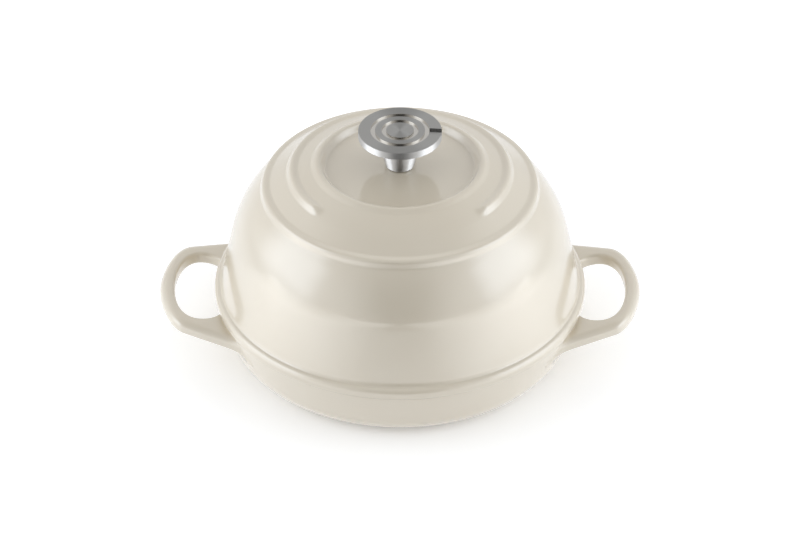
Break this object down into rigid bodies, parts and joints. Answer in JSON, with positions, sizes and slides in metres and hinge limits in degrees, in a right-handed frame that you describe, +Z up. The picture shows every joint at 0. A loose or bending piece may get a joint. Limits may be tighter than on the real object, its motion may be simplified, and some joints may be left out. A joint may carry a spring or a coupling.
{
  "type": "cast iron bread pot",
  "caption": "Round enamelled cast iron bread pot: low base with loop handles, tall domed lid with raised ridges, and a turned steel knob screwed on from inside.",
  "frame": {"origin": "on the ground, under the middle of the base", "axes": "+Z up along the pot's axis, +X through the middle of one handle, -Y towards the gap in the middle ridge of the lid"},
  "size_m": [0.3294, 0.254, 0.1676],
  "materials": {
    "enamel": "gloss cream vitreous enamel outside, dark satin enamel inside",
    "brushed_steel": "turned and brushed in circles",
    "polished_steel": "polished",
    "zinc_steel": "zinc plated"
  },
  "bodies": {
    "base": {"base_pan": "enamel"},
    "lid": {"lid_dome": "enamel", "knob_disc": "brushed_steel", "knob_stem": "polished_steel", "knob_screw": "zinc_steel", "flat_washer": "zinc_steel", "lock_washer": "zinc_steel"}
  },
  "joints": [
    {"name": "lid_lift", "type": "slide", "parent": "base", "child": "lid", "axis": [0, 0, 1], "range_m": [0, 0.2]}
  ]
}
